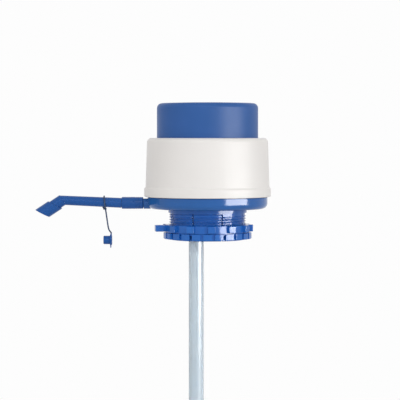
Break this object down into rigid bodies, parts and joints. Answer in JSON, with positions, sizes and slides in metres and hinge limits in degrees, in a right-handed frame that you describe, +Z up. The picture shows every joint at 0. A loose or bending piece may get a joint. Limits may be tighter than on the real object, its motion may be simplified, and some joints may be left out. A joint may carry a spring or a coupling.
{
  "type": "water bottle hand pump",
  "caption": "Manual pump for a large water bottle: a sprung push button over a bellows, a split neck clamp with a ring nut, a dip tube and a side spout with a tethered stopper.",
  "frame": {"origin": "centre of the gasket's lower face, where the bottle's rim seats", "axes": "+Z up along the pump's axis, the spout points along -X"},
  "size_m": [0.1885, 0.1012, 0.549],
  "materials": {
    "cap_blue": "satin moulded",
    "shell_white": "smooth moulded",
    "pump_blue": "polished moulded",
    "rubber_black": "matt moulded",
    "milk_clear": "translucent extruded",
    "valve_white": "moulded",
    "steel": "bright drawn"
  },
  "bodies": {
    "base": {"collar": "shell_white", "bellows": "rubber_black", "return_spring": "steel", "bellows_ring": "valve_white", "ring_screws": "steel", "valve_plate": "valve_white", "inlet_cage": "valve_white", "outlet_cage": "valve_white", "base_dish": "pump_blue", "water_elbow": "pump_blue", "floor_seals": "rubber_black", "neck_gasket": "rubber_black", "clamp_collet": "pump_blue", "dip_tube_upper": "milk_clear", "tube_joiner": "pump_blue", "dip_tube_lower": "milk_clear", "tube_foot": "pump_blue", "spout_o_ring": "rubber_black"},
    "button": {"push_button": "cap_blue"},
    "inlet_valve": {"inlet_disc": "rubber_black"},
    "outlet_valve": {"outlet_disc": "rubber_black"},
    "pressure_ring": {"pressure_ring": "pump_blue"},
    "nut": {"clamp_nut": "pump_blue"},
    "spout": {"spout_coupling": "pump_blue", "spout_tube": "pump_blue", "nozzle": "pump_blue"},
    "cap": {"cap_tether": "pump_blue", "tether_knot": "pump_blue", "spout_plug": "pump_blue"}
  },
  "joints": [
    {"name": "button_press", "type": "slide", "parent": "base", "child": "button", "axis": [0, 0, 1], "range_m": [-0.024, 0], "stiffness_N_per_m": 900, "springref_m": 0.004, "deforming": ["bellows", "return_spring"]},
    {"name": "inlet_lift", "type": "slide", "parent": "base", "child": "inlet_valve", "axis": [0, 0, 1], "range_m": [0, 0.0012]},
    {"name": "outlet_lift", "type": "slide", "parent": "base", "child": "outlet_valve", "axis": [0, 0, 1], "range_m": [0, 0.0012]},
    {"name": "ring_slide", "type": "slide", "parent": "base", "child": "pressure_ring", "axis": [0, 0, 1], "range_m": [0, 0.0085]},
    {"name": "nut_turn", "type": "hinge", "parent": "pressure_ring", "child": "nut", "pos_m": [0, 0, 0], "axis": [0, 0, 1], "range_deg": [0, 1512]},
    {"name": "spout_swivel", "type": "hinge", "parent": "base", "child": "spout", "pos_m": [-0.06, 0, 0.0085], "axis": [-1, 0, 0], "continuous": true},
    {"name": "tether_swing", "type": "hinge", "parent": "spout", "child": "cap", "pos_m": [-0.0822, 0, 0.0091], "axis": [-0.999, 0, 0.0454], "continuous": true}
  ],
  "couplings": [
    {"joint": "ring_slide", "follows": "nut_turn", "m_per_rad": 0.00031831}
  ]
}
